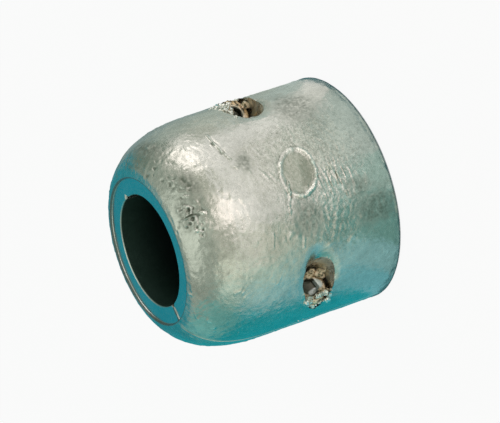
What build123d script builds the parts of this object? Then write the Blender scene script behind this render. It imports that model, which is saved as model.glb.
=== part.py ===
"""Sacrificial anode for a propeller shaft.

A bullet-shaped zinc collar, cast in two halves, is clamped round the shaft by
two socket-head screws that pull against nuts let into the far half.

Frame, in millimetres: Z is the shaft axis. The flat end stands on Z = 0 and
the rounded nose points up. The halves meet on the plane Y = 0, and the screws
go in from -Y.
"""
import os
from math import sqrt

from build123d import *

# Collar
BORE_RADIUS = 17.5
BODY_RADIUS = 35.5
LENGTH = 68.0
END_CHAMFER = 0.7
BORE_CHAMFER = 0.4
NOSE_START = 41.9
NOSE_SHOULDER = (BODY_RADIUS, 59.8)  # control points of the nose's Bezier curve
NOSE_BROW = (29.4, 65.05)
CREST_RADIUS = 24.5  # where the nose is highest, round its sunk face
NOSE_FACE_RADIUS = 22.8
NOSE_FACE_DEPTH = 1.3
SEAM_CHAMFER = 0.35
SEAM_NOTCH = 1.3

# Screw holes, one on each side of the bore, square to the seam
SCREW_X = 28.9
SCREW_Z = 29.0
SEAT_DEPTH = 6.5
POCKET_RADIUS = 5.6
CLEARANCE_RADIUS = 3.3
NUT_POCKET_WIDTH = 10.4

# Round cast mark on the crown of the front half, left without lettering
MARK_RADIUS = 6.2
MARK_WIDTH = 1.1
MARK_HEIGHT = 0.4

# M6 socket-head screw and nut
THREAD_RADIUS = 3.0
SCREW_LENGTH = 20.0
HEAD_RADIUS = 5.0
HEAD_HEIGHT = 6.0
HEAD_CHAMFER = 0.5
POINT_CHAMFER = 0.8
SOCKET_WIDTH = 5.0
SOCKET_DEPTH = 3.0
NUT_WIDTH = 10.0
NUT_HEIGHT = 5.0
NUT_BORE_RADIUS = 3.02

SEAM = Plane.XZ  # its normal points to -Y, the screws' side
CORNERS_PER_FLATS = 2 / sqrt(3)


def seam_plane(offset):
    """Plane parallel to the seam, offset towards the screws' side."""
    return SEAM.offset(offset)


def on_seam(part):
    """Edges of a half that lie on the seam plane."""
    return part.edges().filter_by_position(Axis.Y, -0.001, 0.001)


def collar_half():
    """One half of the collar, on the +Y side of the seam, before its holes."""
    face = LENGTH - NOSE_FACE_DEPTH
    with BuildPart() as half:
        with BuildSketch(SEAM):
            with BuildLine():
                Polyline(
                    (BODY_RADIUS, NOSE_START),
                    (BODY_RADIUS, END_CHAMFER),
                    (BODY_RADIUS - END_CHAMFER, 0),
                    (BORE_RADIUS + BORE_CHAMFER, 0),
                    (BORE_RADIUS, BORE_CHAMFER),
                    (BORE_RADIUS, face - BORE_CHAMFER),
                    (BORE_RADIUS + BORE_CHAMFER, face),
                    (NOSE_FACE_RADIUS, face),
                    (CREST_RADIUS, LENGTH),
                )
                Bezier(
                    (BODY_RADIUS, NOSE_START),
                    NOSE_SHOULDER,
                    NOSE_BROW,
                    (CREST_RADIUS, LENGTH),
                )
            make_face()
        revolve(axis=Axis.Z, revolution_arc=180)
        bore_edges = on_seam(half).filter_by(
            lambda e: e.length > LENGTH / 2 and abs(e.center().X) < BORE_RADIUS + 0.01
        )
        chamfer(bore_edges, SEAM_NOTCH)
        barrel_edges = on_seam(half).filter_by(
            lambda e: abs(e.center().X) > CREST_RADIUS and e.center().Z > 0.1
        )
        chamfer(barrel_edges, SEAM_CHAMFER)
    return half.part


def cast_mark():
    """Raised rim of the round mark, following the barrel."""
    with BuildPart() as rim:
        with BuildSketch(seam_plane(BODY_RADIUS / 2)):
            with Locations((0, SCREW_Z)):
                Circle(MARK_RADIUS + MARK_WIDTH / 2)
                Circle(MARK_RADIUS - MARK_WIDTH / 2, mode=Mode.SUBTRACT)
        extrude(amount=BODY_RADIUS)
        with Locations((0, 0, SCREW_Z)):
            Cylinder(BODY_RADIUS + MARK_HEIGHT, 3 * MARK_RADIUS, mode=Mode.INTERSECT)
            Cylinder(BODY_RADIUS - 1, 3 * MARK_RADIUS, mode=Mode.SUBTRACT)
    return rim.part


def screw_holes():
    """Clearance holes right through both halves."""
    with BuildPart() as holes:
        with BuildSketch(seam_plane(-BODY_RADIUS)):
            with Locations((-SCREW_X, SCREW_Z), (SCREW_X, SCREW_Z)):
                Circle(CLEARANCE_RADIUS)
        extrude(amount=2 * BODY_RADIUS)
    return holes.part


def head_pockets():
    """Round pockets for the screw heads, from their seats out through the barrel."""
    with BuildPart() as pockets:
        with BuildSketch(seam_plane(SEAT_DEPTH)):
            with Locations((-SCREW_X, SCREW_Z), (SCREW_X, SCREW_Z)):
                Circle(POCKET_RADIUS)
        extrude(amount=BODY_RADIUS)
    return pockets.part


def nut_pockets():
    """Hexagonal pockets that hold the nuts, from their seats out through the barrel."""
    with BuildPart() as pockets:
        with BuildSketch(seam_plane(-SEAT_DEPTH)):
            with Locations((-SCREW_X, SCREW_Z), (SCREW_X, SCREW_Z)):
                RegularPolygon(NUT_POCKET_WIDTH / 2 * CORNERS_PER_FLATS, 6, rotation=30)
        extrude(amount=-BODY_RADIUS)
    return pockets.part


def clamp_screw():
    """Socket-head screw on the Y axis, its head's seat on Y = 0 and its point at +Y."""
    with BuildPart() as screw:
        with BuildSketch(SEAM):
            Circle(HEAD_RADIUS)
        extrude(amount=HEAD_HEIGHT)
        chamfer(screw.edges().group_by(Axis.Y)[0], HEAD_CHAMFER)
        with BuildSketch(SEAM):
            Circle(THREAD_RADIUS)
        extrude(amount=-SCREW_LENGTH)
        chamfer(screw.edges().group_by(Axis.Y)[-1], POINT_CHAMFER)
        with BuildSketch(seam_plane(HEAD_HEIGHT)):
            RegularPolygon(SOCKET_WIDTH / 2 * CORNERS_PER_FLATS, 6, rotation=30)
        extrude(amount=-SOCKET_DEPTH, mode=Mode.SUBTRACT)
    return screw.part


def clamp_nut():
    """Hexagon nut on the Y axis, seated on Y = 0, with its corners taken off at 30 degrees."""
    corner = NUT_WIDTH / 2 * CORNERS_PER_FLATS
    drop = (corner - NUT_WIDTH / 2) / sqrt(3)
    with BuildPart() as nut:
        with BuildSketch(SEAM):
            RegularPolygon(corner, 6, rotation=30)
            Circle(NUT_BORE_RADIUS, mode=Mode.SUBTRACT)
        extrude(amount=-NUT_HEIGHT)
        with BuildSketch(Plane.XY):
            with BuildLine():
                Polyline(
                    (0, 0),
                    (NUT_WIDTH / 2, 0),
                    (corner, drop),
                    (corner, NUT_HEIGHT - drop),
                    (NUT_WIDTH / 2, NUT_HEIGHT),
                    (0, NUT_HEIGHT),
                    close=True,
                )
            make_face()
        revolve(axis=Axis.Y, mode=Mode.INTERSECT)
    return nut.part


blank = collar_half()
front = blank.rotate(Axis.Z, 180) + cast_mark() - head_pockets() - screw_holes()
rear = blank - nut_pockets() - screw_holes()

os.makedirs("parts", exist_ok=True)
export_step(front, "parts/front_half.step")
export_step(rear, "parts/rear_half.step")
for number, (x, turn) in enumerate([(-SCREW_X, 14), (SCREW_X, -21)], start=1):
    screw = clamp_screw().rotate(Axis.Y, turn)
    export_step(Pos(x, -SEAT_DEPTH, SCREW_Z) * screw, f"parts/clamp_screw_{number}.step")
    export_step(Pos(x, SEAT_DEPTH, SCREW_Z) * clamp_nut(), f"parts/clamp_nut_{number}.step")
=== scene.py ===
import bpy
import bmesh
from math import atan2, ceil, cos, exp, hypot, pi, radians, sin, sqrt
from mathutils import Matrix, Vector, geometry, noise


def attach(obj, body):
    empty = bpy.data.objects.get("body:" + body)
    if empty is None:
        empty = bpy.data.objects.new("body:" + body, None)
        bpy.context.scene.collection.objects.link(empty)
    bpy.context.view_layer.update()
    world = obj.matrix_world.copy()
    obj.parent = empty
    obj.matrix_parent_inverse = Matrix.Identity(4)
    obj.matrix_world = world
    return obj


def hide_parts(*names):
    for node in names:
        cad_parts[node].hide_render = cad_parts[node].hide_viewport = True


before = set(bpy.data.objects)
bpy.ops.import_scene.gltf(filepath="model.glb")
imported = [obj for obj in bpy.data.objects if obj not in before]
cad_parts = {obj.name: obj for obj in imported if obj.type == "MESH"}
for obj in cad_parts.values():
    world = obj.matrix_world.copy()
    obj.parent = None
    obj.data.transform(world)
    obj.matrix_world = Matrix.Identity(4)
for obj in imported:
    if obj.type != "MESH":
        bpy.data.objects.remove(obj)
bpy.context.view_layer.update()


# ---------------------------------------------------------------- cast halves
# The collar is two zinc castings, poured in an open iron mould and knocked out as
# they are: a dull skin with flow lines, pits and a torn edge at each screw pocket.
# They meet on the seam plane and hold the shaft between them, pulled by the screws.
mm = 0.001
bore, barrel, length = 17.5, 35.5, 68.0
end_chamfer, bore_chamfer = 0.7, 0.4
# the nose: its curve's control points, each a radius and a height, then the crest it is
# eased into from blend_radius on, and the sunk face inside that
nose_start, shoulder, brow, tip = (35.5, 41.9), (35.5, 59.8), (29.4, 65.05), (24.5, 68.0)
crest, blend_radius = (23.1, 68.0), 26.6
face_radius, face_height = 22.7, 67.3
skin_grid, face_grid, hidden_grid = 0.42, 0.6, 1.3
seam_chamfer, seam_notch, notch_reach = 0.35, 1.3, 21.5
screw_x, screw_z, seat = 28.9, 29.0, 6.5
pocket, clearance, nut_flats = 5.6, 3.3, 10.4


def curve(points, steps):
    """Points along a Bezier curve, as radius and height."""
    return [(p.x, p.z) for p in geometry.interpolate_bezier(*[Vector((r, 0, z)) for r, z in points], steps)]


nose_curve = [p for p in curve((nose_start, shoulder, brow, tip), 80) if p[0] > blend_radius]
nose_curve += curve((nose_curve[-1], (25.4, 67.65), (24.3, 68.0), crest), 10)[1:]


def nose_radius(z):
    """Radius of the casting's outside at height z, and how fast it changes there."""
    if z <= nose_start[1]:
        return barrel, 0.0
    for (r0, z0), (r1, z1) in zip(nose_curve, nose_curve[1:]):
        if z <= z1:
            return r0 + (r1 - r0) * (z - z0) / (z1 - z0), (r1 - r0) / (z1 - z0)
    return crest[0], (r1 - r0) / (z1 - z0)


def smooth(value, low, high):
    """0 below low and 1 above high, smooth between."""
    t = min(1.0, max(0.0, (value - low) / (high - low)))
    return t * t * (3 - 2 * t)


def from_line(point, ends):
    """Distance of a point from a short line, and how far along the line it lies."""
    start, end = Vector(ends[0]), Vector(ends[1])
    way = end - start
    along = min(1.0, max(0.0, (Vector(point) - start).dot(way) / way.length_squared))
    return (Vector(point) - start - along * way).length, along


def half_solid(front):
    """A half's plain solid: its section turned through half a circle, seam edges eased."""
    section = [(barrel - end_chamfer, 0), (barrel, end_chamfer), *nose_curve, (face_radius, face_height),
               (bore + bore_chamfer, face_height), (bore, face_height - bore_chamfer),
               (bore, bore_chamfer), (bore + bore_chamfer, 0)]
    bm = bmesh.new()
    turn = -1 if front else 1
    ring = [bm.verts.new((r * mm, 0, z * mm)) for r, z in section]
    for a, b in zip(ring, ring[1:] + ring[:1]):
        bm.edges.new((a, b))
    for edge in list(bm.edges):
        middle = (edge.verts[0].co + edge.verts[1].co) / 2 / mm
        outside = middle.x > 22.5 and middle.z > 0.2
        grid = skin_grid if outside else face_grid if middle.z > 66.5 else hidden_grid
        cuts = ceil(edge.calc_length() / mm / grid) - 1
        if cuts > 0:
            bmesh.ops.subdivide_edges(bm, edges=[edge], cuts=cuts)
    # turned in flat-sided sectors, which are then divided and drawn out to the round
    sectors, parts = 33, 8
    bmesh.ops.spin(bm, geom=list(bm.verts) + list(bm.edges), cent=(0, 0, 0), axis=(0, 0, 1),
                   dvec=(0, 0, 0), angle=turn * pi, steps=sectors, use_merge=False, use_duplicate=False)
    bmesh.ops.subdivide_edges(bm, cuts=parts - 1, use_grid_fill=True, edges=[
        e for e in bm.edges if abs(e.verts[0].co.z - e.verts[1].co.z) < 0.001 * mm
        and abs(e.verts[0].co.xy.length - e.verts[1].co.xy.length) < 0.001 * mm])
    half_sector = pi / sectors / 2
    for v in bm.verts:
        from_middle = atan2(abs(v.co.y), v.co.x) % (2 * half_sector) - half_sector
        v.co.xy *= cos(from_middle) / cos(half_sector)
    bmesh.ops.holes_fill(bm, edges=[e for e in bm.edges if e.is_boundary], sides=0)
    for v in bm.verts:
        x, y, z = v.co / mm
        r, side = hypot(x, y), 1 if x > 0 else -1
        if abs(y) < seam_chamfer and r > crest[0] + 0.5 and z > 0.5:
            v.co.x -= side * (seam_chamfer - abs(y)) * mm
        if abs(y) < seam_notch and r < notch_reach:
            v.co.x += side * (seam_notch - abs(y)) * (notch_reach - r) / (notch_reach - bore) * mm
    bmesh.ops.recalc_face_normals(bm, faces=list(bm.faces))
    return bm


def as_object(bm, name):
    mesh = bpy.data.meshes.new(name)
    bm.to_mesh(mesh)
    bm.free()
    piece = bpy.data.objects.new(name, mesh)
    bpy.context.scene.collection.objects.link(piece)
    return piece


def drill(depth_from, depth_to, radius, corners, rings):
    """Cutter for a hole along Y at both screws; six corners make it fit a nut."""
    bm = bmesh.new()
    depth = abs(depth_to - depth_from)
    cap_rings = 5
    for side in (-1, 1):
        made = bmesh.ops.create_cone(
            bm, cap_ends=True, segments=corners, radius1=radius * mm, radius2=radius * mm, depth=depth * mm,
            matrix=Matrix.Translation((side * screw_x * mm, (depth_from + depth_to) / 2 * mm, screw_z * mm))
            @ Matrix.Rotation(pi / 2, 4, "X") @ Matrix.Rotation(pi / 6, 4, "Z"))
        sides = [e for v in made["verts"] for e in v.link_edges
                 if abs((e.verts[0].co - e.verts[1].co).y) > 0.5 * depth * mm]
        caps = [f for v in made["verts"] for f in v.link_faces if len(f.verts) == corners]
        bmesh.ops.subdivide_edges(bm, edges=list(set(sides)), cuts=rings)
        for cap in set(caps):
            for _ in range(cap_rings):
                bmesh.ops.inset_region(bm, faces=[cap], thickness=radius * mm / (cap_rings + 2), use_even_offset=True)
    bmesh.ops.recalc_face_normals(bm, faces=list(bm.faces))
    return as_object(bm, "drill")


def bored(piece, cutters):
    """The piece with its holes cut, as a bmesh."""
    for cutter in cutters:
        cut = piece.modifiers.new("bored", "BOOLEAN")
        cut.operation, cut.solver, cut.object = "DIFFERENCE", "EXACT", cutter
    mesh = bpy.data.meshes.new_from_object(piece.evaluated_get(bpy.context.evaluated_depsgraph_get()))
    for done in (piece, *cutters):
        old = done.data
        bpy.data.objects.remove(done)
        bpy.data.meshes.remove(old)
    bm = bmesh.new()
    bm.from_mesh(mesh)
    bpy.data.meshes.remove(mesh)
    bmesh.ops.remove_doubles(bm, verts=list(bm.verts), dist=0.01 * mm)
    return bm


# marks left on the skin, each by its two ends in millimetres round the barrel from the
# crown and up the axis, with its half width and its height
cold_shuts = [((23.8, 47.7), (19.5, 47.8), 0.26, 0.22), ((19.5, 47.8), (15.0, 47.4), 0.3, 0.3),
              ((15.0, 47.4), (11.6, 46.6), 0.26, 0.24), ((19.6, 48.9), (14.0, 48.6), 0.2, 0.08),
              ((8.7, 46.7), (8.0, 46.2), 0.34, 0.24), ((6.1, 43.6), (5.5, 43.2), 0.3, 0.2),
              ((4.3, 64.5), (2.2, 63.1), 0.24, 0.3), ((2.2, 63.1), (0.4, 63.8), 0.24, 0.32),
              ((0.4, 63.8), (0.6, 65.1), 0.24, 0.26), ((-0.2, 66.3), (-0.8, 63.2), 0.22, 0.26),
              ((-0.8, 63.2), (-4.2, 63.2), 0.24, 0.3), ((-0.6, 61.3), (-1.4, 60.5), 0.35, 0.3),
              ((-5.6, 64.8), (-6.6, 63.0), 0.24, 0.24), ((7.4, 63.6), (6.2, 62.2), 0.24, 0.2)]
strokes = [((1.3, 19.2), (-6.3, 19.8), 0.24, 0.26), ((0.7, 18.3), (-6.9, 17.6), 0.24, 0.28),
           ((2.3, 15.9), (-4.3, 17.0), 0.22, 0.22), ((-0.2, 21.4), (-9.3, 20.4), 0.24, 0.22),
           ((-1.8, 23.9), (-9.9, 23.1), 0.24, 0.2), ((0.6, 14.7), (-6.9, 15.0), 0.22, 0.16),
           ((-2.0, 12.9), (-7.6, 12.6), 0.24, 0.14), ((-1.0, 20.4), (-7.5, 21.3), 0.2, 0.2),
           ((-2.5, 16.9), (-10.4, 16.0), 0.22, 0.2), ((-1.3, 33.2), (-6.6, 34.8), 0.26, 0.26),
           ((-6.3, 35.2), (-10.7, 36.1), 0.24, 0.22), ((6.5, 35.0), (0.5, 35.8), 0.2, 0.1),
           ((-18.0, 33.4), (-21.5, 34.0), 0.24, 0.16), ((9.2, 13.6), (3.0, 13.0), 0.22, 0.1),
           ((17.5, 24.0), (10.2, 25.2), 0.22, 0.1), ((15.5, 20.0), (11.0, 21.2), 0.22, 0.1),
           ((-14.0, 43.0), (-18.5, 44.0), 0.2, 0.09), ((5.2, 40.2), (1.8, 38.7), 0.3, 0.18),
           ((3.4, 37.6), (0.6, 36.6), 0.3, 0.2), ((12.6, 38.0), (9.4, 37.2), 0.26, 0.14)]
# pits, each by its place, its radius and its depth
pits = [(1.9, 64.1, 0.5, 0.5), (-1.6, 63.9, 0.5, 0.45), (-2.8, 64.7, 0.45, 0.4), (-5.0, 63.6, 0.45, 0.35),
        (-6.3, 62.4, 0.45, 0.35), (3.4, 65.5, 0.4, 0.35), (-3.6, 65.8, 0.4, 0.3), (-8.0, 63.0, 0.5, 0.3),
        (8.0, 61.6, 0.4, 0.25), (-4.4, 62.0, 0.4, 0.3)]
# the round mark: its middle, half its length and half its width, its lean and its height
mark_place, mark_long, mark_short, mark_lean, mark_height = (0.9, 28.8), 7.5, 5.6, -0.33, 0.38


def along_mark(around, z):
    """How far a point is from the mark's middle, along the mark and across it."""
    u, v = around - mark_place[0], z - mark_place[1]
    return u * cos(mark_lean) + v * sin(mark_lean), v * cos(mark_lean) - u * sin(mark_lean)


def on_mark(around, z):
    """Bearing of a point round the mark's middle, and how far outside its rim it lies."""
    u, v = along_mark(around, z)
    away = (hypot(u / mark_long, v / mark_short) - 1) * (mark_long + mark_short) / 2
    return atan2(v / mark_short, u / mark_long), away


def skin_height(x, y, z, front):
    """How far the cast skin stands above the mould's true surface, in millimetres: its slow
    swell, and the folds, strokes and pits on top of it."""
    place = Vector((x, y, z))
    around = barrel * atan2(x, -y)
    swell = -0.16 + 0.08 * noise.noise(place / 12) + 0.07 * noise.noise(place / 4.2)
    swell += 0.025 * noise.noise(Vector((around / 6.0, z / 1.1, 3.0)))
    detail = 0.055 * noise.noise(place / 1.7 + Vector((7, 0, 0))) + 0.04 * noise.noise(place / 0.95)
    # thin curled folds where the metal froze as it flowed
    busy = smooth(noise.noise(place / 6.0 + Vector((3, 0, 0))), -0.1, 0.4)
    busy *= smooth(noise.noise(place / 1.9 + Vector((0, 3, 0))), -0.1, 0.3)
    detail += 0.17 * busy * exp(-(noise.noise(place / 2.4 + Vector((0, 5, 0))) / 0.12) ** 2)
    # shallow corrosion on the nose, deeper near the crown
    rough = smooth(z, 57, 62) * smooth(noise.noise(place / 6 + Vector((0, 4, 9))), -0.1, 0.35)
    eaten = 0.16 if -9 < around < 30 else 0.05
    detail -= eaten * rough * smooth(noise.noise(place / 1.3 + Vector((0, 0, 9))), 0.0, 0.45)
    if not front:
        return swell, detail
    # round mark: a torn rim, heavy on the side away from the nose, about a sunk, flat middle
    bearing, away = on_mark(around, z)
    if away < 3:
        ring = Vector((cos(bearing), sin(bearing), 0))
        middle = 1 - smooth(away, -1.5, -0.6)
        away += 0.4 * noise.noise(ring * 1.7 + Vector((0, 0, 1))) + 0.15 * noise.noise(ring * 5)
        heavy = smooth(-sin(bearing), -0.4, 0.5)
        ragged = max(0.05, 0.62 + 1.1 * noise.noise(ring * 2.6 + Vector((0, 0, 5))) + 1.2 * noise.noise(ring * 8))
        away += 0.12 * noise.noise(ring * 14)
        detail *= 1 - 0.6 * middle
        detail += (0.3 + 0.3 * heavy) * ragged * exp(-(away / (0.34 + 0.2 * heavy)) ** 2)
        detail += 0.24 * heavy * ragged * exp(-((away + 1.5) / 0.35) ** 2) * smooth(noise.noise(ring * 4), -0.1, 0.2)
        detail -= 0.14 * exp(-((away - 0.9) / 0.35) ** 2) + 0.16 * exp(-((away + 0.8) / 0.3) ** 2)
        swell -= 0.16 * middle
    # rough patch beside the mark, where a cast plate would carry its lettering
    patch = smooth(-around, 6.5, 8.5) * (1 - smooth(-around, 19, 21.5)) * smooth(z, 12, 14) * (1 - smooth(z, 30, 33))
    if patch > 0:
        detail += 0.10 * patch * smooth(noise.noise(Vector((around / 1.2, z / 0.9, 11))), 0.0, 0.4)
        detail -= 0.07 * patch * smooth(noise.noise(Vector((around / 1.0, z / 1.2, 4))), 0.1, 0.5)
    for lines, torn in ((cold_shuts, 0.4), (strokes, 0.6)):
        for start, end, width, proud in lines:
            if min(start[1], end[1]) - 2 < z < max(start[1], end[1]) + 2:
                off, along = from_line((around, z), (start, end))
                if off < 5 * width:
                    broken = 1 - torn * smooth(noise.noise(Vector((along * 6, start[0], start[1]))), 0.0, 0.5)
                    off += 0.5 * width * noise.noise(Vector((along * 3, start[1], start[0])))
                    detail += proud * broken * (exp(-(off / width) ** 2) - 0.5 * exp(-(off / width - 2.1) ** 2))
    for a, b, size, deep in pits:
        off = hypot(around - a, z - b)
        if off < 3 * size:
            detail -= deep * exp(-(off / size) ** 2) - 0.14 * exp(-((off - 1.7 * size) / 0.3) ** 2)
    return swell, detail


def torn_lip(x, z, side):
    """Whether a point is on the thin, torn side of a pocket's mouth, from 0 to 1, and how
    far metal is pulled up there, from 0 to about 1."""
    bearing = atan2(z - screw_z, side * x - screw_x)
    teeth = 0.45 + 0.7 * noise.noise(Vector((3.0 * bearing, side * 4, 2)))
    teeth += 0.5 * noise.noise(Vector((9 * bearing, side, 6)))
    return smooth(cos(bearing), 0.0, 0.6), max(0.0, teeth)


def sag(x, z):
    """How far the lip of one screw's pocket has slumped into it, on the side next the bore."""
    return 3.0 * exp(-((z - 29.6) / 3.0) ** 2) * smooth(x + screw_x, 2.5, 4.5) * smooth(-x, 15, 20)


def weathered(bm, front):
    """Gives the plain half its cast skin, its torn pocket mouths and its rough inside."""
    bm.normal_update()
    relief = bm.verts.layers.float.new("relief")
    moves = []
    mouth = pocket if front else nut_flats / sqrt(3)
    inwards = 1.1 if front else -0.4  # how far along Y the mouth's edge is rounded over
    for v in bm.verts:
        x, y, z = v.co / mm
        r = hypot(x, y)
        side = 1 if x > 0 else -1
        radius, slope = nose_radius(min(z, length))
        well = hypot(side * x - screw_x, z - screw_z)
        seam = abs(y) < 0.5
        torn, teeth = torn_lip(x, z, side)
        # the skin, then the pockets' walls, the seam's ridge on the face, and the rest
        if abs(r - radius) < 0.05 + 0.35 * seam and z > 0.75 and r > crest[0] + 0.05:
            lean = Vector((x / r, y / r, -slope)).normalized()
            swell, detail = skin_height(x, y, z, front)
            free = smooth(abs(y), 0.0, 1.2) * smooth(z, 0.7, 1.6) * smooth(radius - crest[0], 0.0, 1.2)
            proudest = mark_height * (1 - smooth(abs(x), 31.5, 33.0)) if front else 0.0
            height = min(proudest, swell + detail) * free
            v[relief] = detail * free
            if front:
                height += 0.75 * torn * teeth * exp(-(max(0, well - mouth) / 0.5) ** 2)
            eased = (1 - torn) * max(0.0, 1 - (well - mouth) / 2.2) ** 2
            dip = sag(x, z) * max(0.0, 1 - (well - mouth) / 3.2) ** 1.5 if front else 0.0
            moves.append((v, lean * height + Vector((0, inwards * eased + dip, 0))))
        elif well < mouth + 0.1 and r > bore + 4 and abs(y) > seat - 0.1:
            skin = sqrt(max(0.0, barrel ** 2 - x * x))
            eased = (1 - torn) * max(0.0, 1 - (skin - abs(y)) / 3)
            rough = 0.12 * noise.noise(Vector((x, y, z)) / 1.4)
            rough += 0.2 * noise.noise(Vector((x / 1.3, y / 6, z / 1.3)))
            free = smooth(well, 5.1, 5.5) * smooth(abs(y), seat, seat + 1)
            dip = sag(x, z) * max(0.0, 1 - (skin - abs(y)) / 7.5) if front else 0.0
            moves.append((v, v.normal * (rough - 0.1) * free + Vector((0, inwards * eased + dip, 0))))
        elif z > 67 and abs(y) < 0.35 and x < 0 and r > bore + 1.2:
            moves.append((v, Vector((0, 0, 0.3 + 0.12 * noise.noise(Vector((r, 0, 3)))))))
            v[relief] = 0.3
        elif z > 0.3 and abs(y) > 0.4:
            fine = 0.5 + 0.5 * noise.noise(Vector((x, y, z)) / 2.2) + 0.4 * noise.noise(Vector((x, y, z)) / 0.8)
            moves.append((v, v.normal * -0.05 * max(0, fine)))
    for v, step in moves:
        v.co += step * mm
        v.co.z = min(v.co.z, length * mm)
    return bm


# crumbs of zinc torn up round the pockets, and grit caught in them: a place in millimetres
# round the barrel and up the axis, how far out its middle is, its radius, and how much
# painted highlight its raised parts carry, from 0 for none through 1 for pale to 2 for brightest
crumbs = [
    (40.1, 35.7, 34.9, 0.7, 1), (41.0, 34.6, 34.9, 0.85, 1), (39.6, 34.2, 34.9, 0.8, 1),
    (38.2, 33.9, 34.9, 0.75, 0.5), (36.4, 34.1, 34.9, 0.8, 1), (36.6, 35.6, 35.1, 0.45, 1),
    (39.7, 32.8, 34.6, 0.6, 1), (43.2, 34.9, 34.8, 0.8, 1), (44.4, 33.6, 34.8, 0.8, 0.6),
    (45.3, 32.0, 34.7, 0.7, 1), (42.0, 36.4, 35.0, 0.55, 1), (34.6, 34.3, 34.9, 0.55, 0.5),
    (32.5, 34.1, 34.8, 0.65, 1), (28.3, 34.8, 35.1, 0.6, 2), (30.2, 35.4, 35.2, 0.3, 1),
    (46.2, 31.2, 35.0, 0.7, 1), (41.9, 31.0, 34.7, 1.0, 2), (41.2, 32.3, 34.2, 1.2, 2),
    (42.6, 29.7, 35.0, 0.75, 2), (42.3, 32.8, 35.0, 1.05, 2), (40.3, 33.2, 33.6, 1.1, 2),
    (38.6, 33.6, 33.6, 0.9, 1), (43.4, 28.6, 35.0, 0.6, 1), (41.0, 29.8, 33.0, 0.85, 2),
    (41.5, 30.4, 33.9, 0.85, 2), (41.5, 24.6, 33.4, 1.25, 1), (43.9, 25.8, 35.0, 0.75, 1),
    (-44.6, 32.4, 34.9, 0.55, 1), (-45.6, 31.4, 35.0, 0.6, 1), (-45.7, 30.3, 35.0, 0.55, 0.5),
    (-46.4, 29.2, 35.0, 0.7, 2), (-46.2, 28.3, 35.0, 0.5, 1), (-45.5, 27.5, 35.0, 0.62, 1),
    (-45.4, 26.6, 35.0, 0.5, 1), (-45.1, 25.7, 35.0, 0.6, 0.6), (-44.8, 24.7, 35.1, 1.05, 2),
    (-42.8, 24.2, 35.1, 0.65, 2), (-40.8, 24.0, 35.1, 0.5, 1), (-39.6, 23.4, 35.1, 0.38, 1),
    (-43.7, 33.2, 35.0, 0.42, 1), (-41.4, 31.8, 34.5, 0.65, 1), (-42.3, 30.8, 34.9, 0.8, 0.4),
    (-42.1, 28.8, 34.8, 0.7, 1), (-42.0, 27.9, 34.7, 0.7, 1), (-41.8, 27.1, 34.6, 0.75, 0),
    (-42.1, 25.4, 34.4, 1.15, 1), (-42.5, 32.6, 34.9, 0.5, 1), (-43.5, 31.0, 35.0, 0.7, 1),
    (-43.0, 32.6, 34.8, 1.05, 1), (-39.0, 28.8, 28.6, 0.95, 1), (-38.4, 28.0, 28.5, 0.9, 1),
    (-38.9, 27.0, 28.4, 0.7, 1), (-38.1, 25.1, 29.6, 1.5, 1), (-37.6, 27.2, 28.6, 0.9, 1),
    (-40.6, 33.7, 32.6, 1.15, 0), (-41.7, 26.4, 33.6, 0.95, 1), (-42.2, 31.8, 33.8, 0.75, 1),
    (-54.6, 30.2, 35.1, 0.32, 1), (-54.7, 31.6, 35.1, 0.36, 1), (-54.5, 33.0, 35.1, 0.34, 1),
    (-54.6, 34.2, 35.0, 0.4, 1)]


def crumbled(bm):
    """Adds the crumbs to the front half: small dented lumps, sunk into it or into each other."""
    relief = bm.verts.layers.float["relief"]
    for number, (around, z, out, size, highlight_level) in enumerate(crumbs):
        a = around / barrel
        middle = Vector((out * sin(a), -out * cos(a), z))
        made = bmesh.ops.create_icosphere(bm, subdivisions=3, radius=size)
        for v in made["verts"]:
            dent = 1 + 0.6 * noise.noise(v.co * 1.3 / size + Vector((number * 7.3, 0, 0)))
            dent += 0.25 * noise.noise(v.co * 3.4 / size + Vector((0, number * 5.1, 0)))
            # painted highlight on a crumb's raised parts and painted shade in its dents
            v[relief] = 0.3 * highlight_level if dent > 0.9 else -0.1
            v.co = (v.co * dent + middle) * mm
            v.co.x = min(barrel, max(-barrel, v.co.x / mm)) * mm
            v.co.y = min(v.co.y, -0.05 * mm)
    return bm


def finished(bm, name, node, finish, crease=38):
    """The piece in its place, standing in for its solid, with its finish on."""
    piece = as_object(bm, name)
    piece.data.shade_smooth()
    piece.data.set_sharp_from_angle(angle=radians(crease))
    piece.data.materials.append(finish)
    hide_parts(node)
    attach(piece, "root")
    return piece


class Socket:
    """A node's output, so that sums of masks are written as sums."""

    def __init__(self, finish, output):
        self.finish, self.output = finish, output

    def maths(self, operation, *others):
        return self.finish.node("ShaderNodeMath", {"operation": operation}, [self, *others])[0]

    def __add__(self, other): return self.maths("ADD", other)
    def __sub__(self, other): return self.maths("SUBTRACT", other)
    def __mul__(self, other): return self.maths("MULTIPLY", other)
    def __truediv__(self, other): return self.maths("DIVIDE", other)
    def __abs__(self): return self.maths("ABSOLUTE")
    def __rsub__(self, other): return (self * -1.0) + other
    __radd__ = __add__
    __rmul__ = __mul__

    def mask(self, low, high):
        """0 below low and 1 above high, smooth between; low may be the greater."""
        return self.finish.node("ShaderNodeMapRange", {"interpolation_type": "SMOOTHSTEP"},
                                {"Value": self, "From Min": low, "From Max": high})[0]


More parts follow.
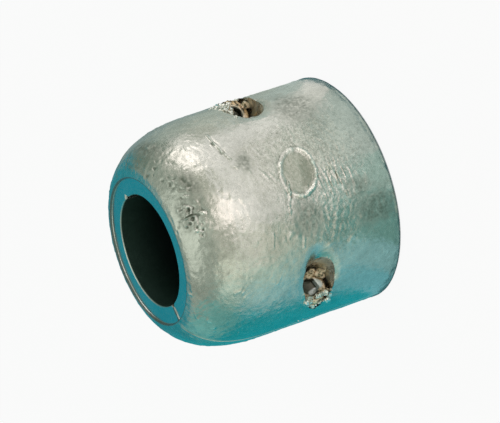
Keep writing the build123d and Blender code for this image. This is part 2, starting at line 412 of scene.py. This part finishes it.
class Finish:
    """A material and its nodes, read in millimetres of the object's own frame."""

    def __init__(self, name):
        self.material = bpy.data.materials.new(name)
        self.material.use_nodes = True
        self.tree = self.material.node_tree
        self.shader = self.tree.nodes["Principled BSDF"]
        metres = self.node("ShaderNodeTexCoord", {}, {})[3]
        self.place = self.node("ShaderNodeVectorMath", {"operation": "SCALE"}, {"Vector": metres, "Scale": 1 / mm})[0]
        self.x, self.y, self.z = self.node("ShaderNodeSeparateXYZ", {}, [self.place])

    def put(self, socket, value):
        if isinstance(value, Socket):
            self.tree.links.new(value.output, socket)
        else:
            socket.default_value = (*value, 1.0) if socket.type == "RGBA" and len(value) == 3 else value

    def node(self, kind, settings, values):
        made = self.tree.nodes.new(kind)
        for key, value in settings.items():
            setattr(made, key, value)
        for key, value in (enumerate(values) if isinstance(values, list) else values.items()):
            self.put(made.inputs[key], value)
        return [Socket(self, output) for output in made.outputs]

    def stretched(self, x, y, z):
        """The place with each axis scaled, for grain that runs one way."""
        return self.node("ShaderNodeCombineXYZ", {}, [self.x * x, self.y * y, self.z * z])[0]

    def grain(self, size, detail=3.0, rough=0.55, place=None, warp=0.0):
        """Noise whose lumps are about size millimetres across."""
        return self.node("ShaderNodeTexNoise", {}, {
            "Vector": place or self.place, "Scale": 1.0 / size, "Detail": detail,
            "Roughness": rough, "Distortion": warp})[0]

    def blend(self, factor, a, b):
        return self.node("ShaderNodeMix", {"data_type": "RGBA"}, {0: factor, 6: a, 7: b})[2]

    def wear(self, values):
        for key, value in values.items():
            self.put(self.shader.inputs[key], value)
        return self.material

    def bump(self, height, strength, distance):
        return self.node("ShaderNodeBump", {}, {"Strength": strength, "Distance": distance, "Height": height})[0]


def distance(a, b):
    """Length of a step that is a one way and b across it."""
    return (a * a + b * b).maths("SQRT")


def cast_zinc():
    """Dull zinc with a mottled skin, with painted highlights on its raised folds and painted shade in its hollows."""
    finish = Finish("cast zinc")
    x, y, z = finish.x, finish.y, finish.z
    radius = distance(x, y)
    round_way = finish.node("ShaderNodeMath", {"operation": "ARCTAN2"}, [x, y * -1.0])[0] * barrel
    well = distance(abs(x) - screw_x, z - screw_z)
    relief = finish.node("ShaderNodeAttribute", {"attribute_name": "relief"}, {})[2]
    near_side = y.mask(-4.0, -9.0)

    broad = finish.grain(13.0, 4.0, 0.6, warp=0.3)
    cloud = finish.grain(5.0, 4.0, 0.65, warp=0.4)
    mottle = finish.grain(2.2, 5.0, 0.7)
    crust = finish.grain(0.95, 3.0, 0.6)
    grit = finish.grain(0.45, 2.0, 0.6)
    in_bore = radius.mask(17.75, 17.6)
    in_pocket = well.mask(5.75, 5.5) * radius.mask(34.9, 34.2)
    on_face = z.mask(67.1, 67.25) * radius.mask(22.85, 22.7)
    # the flat end's edge, painted dark as shade further down
    foot = z.mask(1.3, 0.5)

    def zone(around, height, long, tall):
        """A soft-edged, ragged zone of the skin about a place on it."""
        away = distance((round_way - around) / long, (z - height) / tall)
        return (away + (mottle - 0.5) * 1.3 + (cloud - 0.5) * 1.2).mask(1.25, 0.45) * near_side

    # dark, oxidised places: on the nose, beside the mark and along the flat end
    oxide = zone(0.0, 64.3, 7.5, 2.6)
    for spot in ((9.5, 60.6, 5.5, 2.6), (36.0, 62.0, 12.0, 2.6), (24.0, 17.0, 9.0, 9.0),
                 (-13.5, 30.5, 6.5, 5.5), (-16.5, 8.0, 6.0, 8.0), (9.0, 43.5, 4.0, 3.0), (-9.0, 12.0, 4.0, 5.0)):
        oxide = oxide.maths("MAXIMUM", zone(*spot))
    # the mark: painted shade in its sunk hollow, on the side of its heavy rim away from the nose
    along, across = along_mark(round_way, z)
    in_mark = distance(along / mark_long, across / mark_short).mask(0.93, 0.78) * near_side
    mark_hollow_shade = in_mark * (across + (cloud - 0.5) * 8.0).mask(-0.6, -2.6)

    busy = 0.3 + 0.7 * zone(0.0, 22.0, 24.0, 19.0)
    tone = 0.60 + ((grit - 0.5) * 0.7 + (crust - 0.5) * 0.8) * busy + (mottle - 0.5) * 0.4 + (broad - 0.5) * 0.5
    tone = tone - oxide * (0.18 + (crust - 0.5) * 1.3 + (mottle - 0.5) * 1.2)
    # painted highlight on raised relief (folds, strokes, the mark's rim, the seam's ridge, crumbs), painted shade in
    # sunk relief (pits, dents), then painted shade in the mark's hollow
    tone = tone + relief.mask(0.07, 0.26) * 0.4 - relief.mask(-0.06, -0.2) * 0.4 - mark_hollow_shade * 0.35
    colour = finish.blend(tone.mask(-0.05, 1.15), (0.22, 0.235, 0.195), (0.96, 0.94, 0.86))
    colour = finish.blend(in_mark * 0.5, colour, (0.46, 0.47, 0.38))
    colour = finish.blend(on_face * 0.6, colour, (0.62, 0.66, 0.66))
    # painted shade: a dark line in the corner round the sunk face, and a dark band along the flat end's edge where it
    # stands on the table
    crest_corner_shade = z.mask(67.35, 67.5) * radius.mask(23.45, 23.2)
    colour = finish.blend(crest_corner_shade * 0.85 + foot * 0.7, colour, (0.06, 0.11, 0.11))
    # the pockets: painted light near the mouth and painted shade deeper in, brown and streaked below, with painted
    # highlights on the crumbs in them
    streaks = finish.grain(1.0, 4.0, 0.65, place=finish.stretched(1.0, 0.25, 1.0))
    stain_and_painted_light = finish.blend(streaks.mask(0.38, 0.6), (0.50, 0.40, 0.22), (0.12, 0.10, 0.055))
    mouth_light = y.mask(-14.0, -21.0).maths("MAXIMUM", abs(x).mask(33.0, 34.2))
    stain_and_painted_light = finish.blend(mouth_light * 0.85, stain_and_painted_light, (0.66, 0.62, 0.56))
    # painted highlights on the raised crumbs in the pockets, pinkish gold and near white
    stain_and_painted_light = finish.blend(relief.mask(0.08, 0.22), stain_and_painted_light, (0.98, 0.74, 0.52))
    stain_and_painted_light = finish.blend(relief.mask(0.4, 0.55), stain_and_painted_light, (0.88, 0.92, 0.88))
    colour = finish.blend(in_pocket * 0.95, colour, stain_and_painted_light)
    # the bore: painted dark as shade, and painted lighter towards the nose where light reaches in
    near_nose = z.mask(52.0, 66.0)
    bore_shade = finish.blend(near_nose * (mottle * 0.6 + 0.5), (0.004, 0.014, 0.012), (0.05, 0.10, 0.08))
    colour = finish.blend(in_bore, colour, bore_shade)

    roughness = 0.27 + (crust - 0.5) * 0.25 + (broad - 0.5) * 0.15 + oxide * 0.14 - on_face * 0.04
    roughness = roughness + in_pocket * 0.15 + in_bore * 0.15
    metallic = 1.0 - oxide * 0.12 - crest_corner_shade * 0.5 - in_pocket * 0.65 - in_bore * 0.5
    height = (mottle * 0.28 + (crust * 0.4 + grit * 0.2) * busy) * (1 - on_face * 0.7) * (1 - in_mark * 0.5)
    return finish.wear({"Base Color": colour, "Roughness": roughness, "Metallic": metallic,
                        "Normal": finish.bump(height, 0.7, 0.0005)})


zinc = cast_zinc()
outside, seam_side = 40, 3  # cutters run this far out past the barrel and back past the seam
front = bored(as_object(half_solid(True), "front"), [
    drill(-seat, -outside, pocket, 96, 60), drill(seam_side, -20, clearance, 48, 2)])
finished(crumbled(weathered(front, True)), "cast_front_half", "front_half", zinc)
rear = bored(as_object(half_solid(False), "rear"), [
    drill(seat, outside, nut_flats / sqrt(3), 6, 60), drill(-seam_side, 20, clearance, 48, 2)])
finished(weathered(rear, False), "cast_rear_half", "rear_half", zinc)


# ---------------------------------------------------------------- clamp screws
# Two M6 socket-head screws of yellow-passivated steel, one each side of the shaft.
# The head is knurled and has a hexagon socket; the thread runs to the nut beyond.
head_radius, head_height, head_chamfer = 5.0, 6.0, 0.5
knurl_steps, knurl_depth = 144, 0.16
socket_flats, socket_depth, socket_lip = 5.0, 3.0, 3.2
thread_radius, thread_depth, thread_pitch, screw_length = 3.0, 0.61, 1.0, 20.0


def socket_screw(x, turn):
    """A screw lying along Y, its head towards -Y, its seat on the pocket's floor."""
    bm = bmesh.new()
    # head: a disc with its rim knurled, its top chamfered, and a socket pressed into it
    bmesh.ops.create_cone(bm, cap_ends=True, segments=knurl_steps, radius1=head_radius * mm,
                          radius2=head_radius * mm, depth=head_height * mm,
                          matrix=Matrix.Translation((0, 0, head_height / 2 * mm)))
    wall = [e for e in bm.edges if abs((e.verts[0].co - e.verts[1].co).z) > mm]
    bmesh.ops.subdivide_edges(bm, edges=wall, cuts=5)
    for v in bm.verts:
        level = v.co.z / (head_height * mm)
        groove = round(atan2(v.co.y, v.co.x) / (2 * pi) * knurl_steps) % 3 == 0
        if 0.1 < level < 0.9 and groove:
            v.co.xy *= (head_radius - knurl_depth) / head_radius
        if level > 0.95:
            v.co.xy *= (head_radius - head_chamfer) / head_radius
        elif level > 0.8:
            v.co.z = (head_height - 0.45) * mm
        elif level < 0.05:
            v.co.xy *= (head_radius - 0.15) / head_radius
    top = max(bm.faces, key=lambda f: f.calc_center_median().z if len(f.verts) > 10 else -1)
    for inset in (head_radius - head_chamfer - socket_lip, 0.16):
        bmesh.ops.inset_region(bm, faces=[top], thickness=inset * mm, use_even_offset=True)
    for v in top.verts:
        bearing = atan2(v.co.y, v.co.x)
        sector = (bearing + pi / 6) % (pi / 3) - pi / 6
        v.co.xy = Vector((cos(bearing), sin(bearing))) * (socket_flats / 2 / cos(sector)) * mm
        v.co.z -= 0.12 * mm
    deep = bmesh.ops.extrude_face_region(bm, geom=[top])
    floor = [g for g in deep["geom"] if isinstance(g, bmesh.types.BMFace)][0]
    bmesh.ops.delete(bm, geom=[top], context="FACES_ONLY")
    bmesh.ops.translate(bm, verts=list(floor.verts), vec=(0, 0, -(socket_depth - 0.5) * mm))
    bmesh.ops.inset_region(bm, faces=[floor], thickness=0.7 * mm, depth=-0.35 * mm, use_even_offset=True)
    # shank: one turn's notch, wound down the screw and drawn in to its point
    steps = 36
    turns = int(screw_length / thread_pitch) - 1
    root = thread_radius - thread_depth
    notch = [bm.verts.new((r * mm, 0, -h * mm)) for r, h in
             ((root, 0.0), (root, 0.12), (thread_radius, 0.44),
              (thread_radius, 0.56), (root, 0.88), (root, thread_pitch))]
    wire = [bm.edges.new(pair) for pair in zip(notch, notch[1:])]
    bmesh.ops.spin(bm, geom=notch + wire, cent=(0, 0, 0), axis=(0, 0, -1),
                   dvec=(0, 0, -thread_pitch / steps * mm), angle=turns * 2 * pi, steps=turns * steps)
    shank = [v for v in bm.verts if v.co.z < 0.0 or v in notch]
    bmesh.ops.remove_doubles(bm, verts=shank, dist=0.005 * mm)
    shank = [v for v in bm.verts if v.co.z < 0.5 * mm and v.co.xy.length < (thread_radius + 0.05) * mm]
    for v in shank:
        reach = thread_radius - smooth(-v.co.z / mm, screw_length - 1.2, screw_length) * 0.9
        if v.co.xy.length > reach * mm:
            v.co.xy *= reach * mm / v.co.xy.length
        v.co.z = max(v.co.z, -screw_length * mm)
    # core: fills the thread from inside and carries it into the head
    bmesh.ops.create_cone(bm, cap_ends=True, segments=steps, radius1=2.1 * mm, radius2=2.1 * mm,
                          depth=(screw_length - 0.02) * mm,
                          matrix=Matrix.Translation((0, 0, (0.3 - screw_length / 2) * mm)))
    bmesh.ops.holes_fill(bm, edges=[e for e in bm.edges if e.is_boundary], sides=0)
    bmesh.ops.recalc_face_normals(bm, faces=list(bm.faces))
    place = (Matrix.Translation((x * mm, -seat * mm, screw_z * mm)) @ Matrix.Rotation(radians(turn), 4, "Y")
             @ Matrix.Rotation(pi / 2, 4, "X"))
    bmesh.ops.transform(bm, matrix=place, verts=list(bm.verts))
    return bm


def passivated_steel():
    finish = Finish("yellow passivated steel")
    x, y, z = finish.x, finish.y, finish.z
    well = distance(abs(x) - screw_x, z - screw_z)
    film = finish.grain(1.9, 4.0, 0.65, warp=0.8)
    fine = finish.grain(0.5, 3.0, 0.6)
    # gold film on the head's rim, half of it under brown grime, and a painted highlight as a pale
    # ring round a socket painted dark as shade; in one screw's socket, two painted bright spots of light
    colour = finish.blend(film.mask(0.52, 0.40), (1.0, 0.76, 0.54), (0.72, 0.50, 0.26))
    grime = (finish.grain(1.3, 4.0, 0.6) + (fine - 0.5) * 0.5).mask(0.49, 0.57) * well.mask(2.9, 3.3)
    colour = finish.blend(grime * 0.9, colour, (0.075, 0.065, 0.04))
    # painted highlight: a pale ring round the socket's lip
    colour = finish.blend(well.mask(3.5, 3.25) * 0.6, colour, (0.74, 0.70, 0.58))
    # painted shade in the socket
    colour = finish.blend(well.mask(3.0, 2.85), colour, (0.10, 0.10, 0.075))
    # painted glints: a bright spot and a bright strip of light in the socket of the screw at -X
    glint_spot = distance(x + 28.7, z - 26.6).mask(2.1, 1.2) * y.mask(-10.2, -10.8)
    glint_strip = abs(x + 30.0 + (z - 28.0) * 0.2).mask(0.9, 0.45) * abs(z - 27.3).mask(2.0, 1.4) * y.mask(-10.8, -10.2)
    painted_glints = glint_spot.maths("MAXIMUM", glint_strip * 0.8)
    colour = finish.blend(painted_glints, colour, (0.94, 1.0, 0.98))
    return finish.wear({"Base Color": colour, "Metallic": 0.75 - grime * 0.3 - painted_glints * 0.5,
                        "Roughness": 0.30 + fine * 0.16 + grime * 0.25,
                        "Normal": finish.bump(film * 0.5 + fine * 0.5, 0.35, 0.0002)})


steel = passivated_steel()
finished(socket_screw(-screw_x, 14), "socket_screw_1", "clamp_screw_1", steel, 32)
finished(socket_screw(screw_x, -21), "socket_screw_2", "clamp_screw_2", steel, 32)


# ---------------------------------------------------------------- nuts
# Two M6 hexagon nuts, pressed and tapped, held from turning by the pockets they sit in.
# Their solids are already the true shape and stay; they get the same yellow passivated
# steel as the screws, duller and with a little rust.
def nut_steel():
    finish = Finish("yellow passivated nut")
    film = finish.grain(2.0, 4.0, 0.6, warp=0.5)
    fine = finish.grain(0.4, 3.0, 0.6)
    rust = finish.grain(3.2, 5.0, 0.65).mask(0.56, 0.66)
    colour = finish.blend(film.mask(0.4, 0.6), (0.44, 0.37, 0.25), (0.60, 0.52, 0.38))
    colour = finish.blend(rust * 0.7, colour, (0.20, 0.10, 0.045))
    return finish.wear({"Base Color": colour, "Metallic": 0.95 - rust * 0.6,
                        "Roughness": 0.34 + fine * 0.14 + rust * 0.2,
                        "Normal": finish.bump(film * 0.4 + fine * 0.6, 0.3, 0.0002)})


nut_finish = nut_steel()
for node in ("clamp_nut_1", "clamp_nut_2"):
    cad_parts[node].data.materials.clear()
    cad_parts[node].data.materials.append(nut_finish)


# ---------------------------------------------------------------- floor
# A plain white table top that the collar's flat end stands on.
# It glows a little to the eye, so that it reads as white and still takes the shadow.
table_bm = bmesh.new()
bmesh.ops.create_grid(table_bm, x_segments=4, y_segments=4, size=12.0)
table = as_object(table_bm, "table")
white = Finish("white table")
white.wear({"Base Color": (0.88, 0.88, 0.88), "Roughness": 0.9, "Specular IOR Level": 0.0})
rays = white.node("ShaderNodeLightPath", {}, {})
seen = rays[0].maths("MAXIMUM", rays[3]).maths("MAXIMUM", rays[6])
glow = white.node("ShaderNodeEmission", {}, {"Color": (1.0, 1.0, 1.0), "Strength": 1.0})[0]
lit = white.node("ShaderNodeMixShader", {}, [seen * 0.92, Socket(white, white.shader.outputs[0]), glow])[0]
white.tree.links.new(lit.output, white.tree.nodes["Material Output"].inputs["Surface"])
table.data.materials.append(white.material)


# ---------------------------------------------------------------- light
# Two warm soft boxes, in front and at the right, a weaker one at the left and a wide
# one overhead, in a pale even room.
def soft_box(name, azimuth, elevation, distance, width, height, colour, level):
    """A soft box that faces the collar; level is how bright it looks, 1 being white."""
    box = bpy.data.lights.new(name, "AREA")
    box.shape, box.size, box.size_y = "RECTANGLE", width, height
    box.color, box.energy = colour, level * pi * width * height
    lamp = bpy.data.objects.new(name, box)
    a, e = radians(azimuth), radians(elevation)
    way = Vector((cos(e) * sin(a), -cos(e) * cos(a), sin(e)))
    lamp.matrix_world = (Matrix.Translation(way * distance + Vector((0, 0, 0.033)))
                         @ way.to_track_quat("Z", "Y").to_matrix().to_4x4())
    lamp.visible_camera = False
    bpy.context.scene.collection.objects.link(lamp)


soft_box("front box", 0, 3, 1.2, 0.60, 0.54, (1.0, 0.87, 0.90), 1.5)
soft_box("right box", 68, 2, 1.2, 0.66, 0.54, (1.0, 0.91, 0.94), 1.6)
soft_box("left box", -65, 14, 1.2, 0.80, 0.50, (0.92, 1.0, 0.9), 0.4)
soft_box("overhead box", 20, 78, 1.2, 1.2, 1.2, (0.95, 1.0, 0.93), 0.5)


# ---------------------------------------------------------------- studio cards
# Coloured cards set up round the collar, as a shiny casting has in a studio: blue-green
# at the left and behind, pale in front. They show in its shine only.
def card(name, start, end, near, far, colour):
    """Part of a ring, from one azimuth to another, in degrees from -Y towards +X.

    near and far are its two edges, each a radius and a height in metres."""
    bm = bmesh.new()
    a = radians(start)
    ends = [bm.verts.new((r * sin(a), -r * cos(a), z)) for r, z in (near, far)]
    edge = bm.edges.new(ends)
    bmesh.ops.spin(bm, geom=[*ends, edge], cent=(0, 0, 0), axis=(0, 0, 1), dvec=(0, 0, 0),
                   angle=radians(end - start), steps=ceil((end - start) / 6))
    piece = as_object(bm, name)
    finish = Finish(name)
    glow = finish.node("ShaderNodeEmission", {}, {"Color": colour, "Strength": 1.0})[0]
    finish.tree.links.new(glow.output, finish.tree.nodes["Material Output"].inputs["Surface"])
    piece.data.materials.append(finish.material)
    piece.visible_camera = piece.visible_diffuse = piece.visible_shadow = piece.visible_transmission = False


# mats lying on the table, from one radius to another, the innermost under the flat end
foot, wall, mat_height = 0.0375, 1.5, 0.0003
for number, (start, end, near, far, colour) in enumerate((
        (-180, 180, 0.0352, foot, (0.05, 0.17, 0.20)),
        (0, 50, foot, 0.060, (0.52, 0.62, 0.60)), (0, 50, 0.060, 0.092, (0.56, 0.62, 0.56)),
        (0, 50, 0.092, 0.125, (0.82, 0.81, 0.76)), (-22, 0, foot, 0.080, (0.42, 0.60, 0.57)),
        (-22, 0, 0.080, 0.110, (0.78, 0.79, 0.74)), (50, 74, foot, 0.075, (0.86, 0.88, 0.86)),
        (74, 98, foot, 0.100, (0.50, 0.60, 0.58)), (74, 98, 0.100, 0.300, (0.60, 0.64, 0.58)),
        (98, 122, foot, wall, (0.44, 0.52, 0.48)), (122, 150, foot, wall, (0.28, 0.38, 0.38)),
        (150, 184, foot, wall, (0.06, 0.30, 0.37)), (184, 258, foot, wall, (0.01, 0.36, 0.43)),
        (258, 284, foot, 0.110, (0.17, 0.49, 0.57)), (258, 284, 0.110, wall, (0.36, 0.62, 0.64)),
        (284, 306, foot, 0.100, (0.26, 0.52, 0.56)), (284, 306, 0.100, wall, (0.46, 0.62, 0.55)),
        (306, 338, foot, 0.085, (0.17, 0.37, 0.35)), (306, 338, 0.085, 0.112, (0.34, 0.44, 0.38)),
        (306, 338, 0.112, 0.135, (0.54, 0.60, 0.52)), (306, 338, 0.135, 0.400, (0.76, 0.77, 0.68)))):
    card(f"mat_{number}", start, end, (near, mat_height), (far, mat_height), colour)

# screens standing round the table, from the table up to a height
for number, (start, end, top, colour) in enumerate((
        (-45, 50, 1.0, (0.50, 0.53, 0.46)), (50, 92, 1.0, (0.62, 0.65, 0.59)), (92, 134, 1.0, (0.18, 0.25, 0.21)),
        (134, 205, 1.7, (0.02, 0.30, 0.38)), (205, 262, 1.2, (0.17, 0.48, 0.47)), (262, 290, 1.0, (0.36, 0.54, 0.49)),
        (290, 315, 1.0, (0.58, 0.61, 0.52)))):
    card(f"screen_{number}", start, end, (wall, 0.0), (wall, top), colour)

room = bpy.data.worlds.new("room")
bpy.context.scene.world = room
room.use_nodes = True
room.node_tree.nodes["Background"].inputs["Color"].default_value = (0.36, 0.42, 0.37, 1)
room.node_tree.nodes["Background"].inputs["Strength"].default_value = 1.0


# ---------------------------------------------------------------- camera
# A long lens, held above the table and turned so that the nose points left and down.
lens = bpy.data.cameras.new("camera")
lens.lens, lens.sensor_width, lens.clip_start = 216, 36, 0.05
camera = bpy.data.objects.new("camera", lens)
bpy.context.scene.collection.objects.link(camera)
camera.matrix_world = Matrix.Translation((-0.17041, -0.80661, 0.42848)) @ Matrix((
    (-0.398188, 0.897843, -0.187947), (-0.33557, -0.333264, -0.881095), (-0.853721, -0.287772, 0.433991))).to_4x4()
bpy.context.scene.camera = camera
bpy.context.scene.view_settings.view_transform = "Standard"
